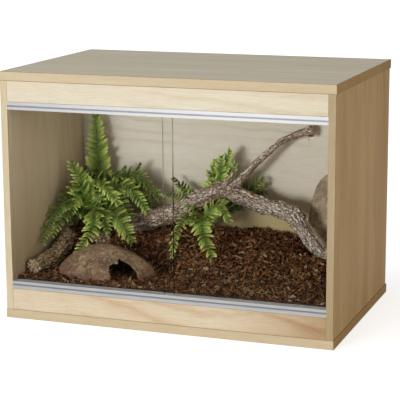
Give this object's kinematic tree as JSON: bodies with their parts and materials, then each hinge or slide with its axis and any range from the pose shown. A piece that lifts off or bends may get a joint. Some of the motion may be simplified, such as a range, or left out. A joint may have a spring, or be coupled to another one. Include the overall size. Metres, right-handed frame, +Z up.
{
  "type": "vivarium",
  "caption": "Wooden vivarium with sliding glass doors in double runners, a vented recessed back, and loose bark bedding, branch, hide, log, rock slab and ferns.",
  "frame": {"origin": "centre of the overall box's underside: the middle of the base panel's lower face", "axes": "+X to the right along the width, +Y from the doors to the back, +Z up"},
  "size_m": [0.575, 0.37, 0.421],
  "materials": {
    "board": "satin pale wood-effect foil on chipboard",
    "back_board": "satin pale wood-effect foil on fibreboard",
    "edging": "satin wood-effect edging strip",
    "runner": "satin silver, extruded",
    "glass": "clear, polished edges",
    "fixing": "zinc plated",
    "dowel": "bare beech",
    "vent": "black moulded plastic",
    "grommet": "black, matt",
    "bark": "loose reddish-brown bark chips",
    "hide": "rough cast resin, brown",
    "branch": "rough grey-brown bark",
    "cork": "rough cork bark",
    "rock": "matt cast rock, grey-brown",
    "leaf": "soft green artificial fern"
  },
  "bodies": {
    "cabinet": {"base_panel": "board", "top_panel": "board", "left_side": "board", "right_side": "board", "back_panel": "back_board", "top_fascia": "board", "base_fascia": "board", "base_edging": "edging", "top_edging": "edging", "side_edging": "edging", "upper_runner": "runner", "lower_runner": "runner", "cam_bolts": "fixing", "cam_locks": "fixing", "dowels": "dowel", "vent_outer_left": "vent", "vent_inner_left": "vent", "vent_inner_right": "vent", "vent_outer_right": "vent", "cable_grommet": "grommet", "bark_bedding": "bark", "cave_hide": "hide", "branch": "branch", "cork_log": "cork", "rock_slab": "rock", "fern_left": "leaf", "fern_centre": "leaf"},
    "left_door": {"left_door": "glass"},
    "right_door": {"right_door": "glass"}
  },
  "joints": [
    {"name": "left_door_slide", "type": "slide", "parent": "cabinet", "child": "left_door", "axis": [1, 0, 0], "range_m": [0, 0.258]},
    {"name": "right_door_slide", "type": "slide", "parent": "cabinet", "child": "right_door", "axis": [-1, 0, 0], "range_m": [0, 0.273]}
  ]
}
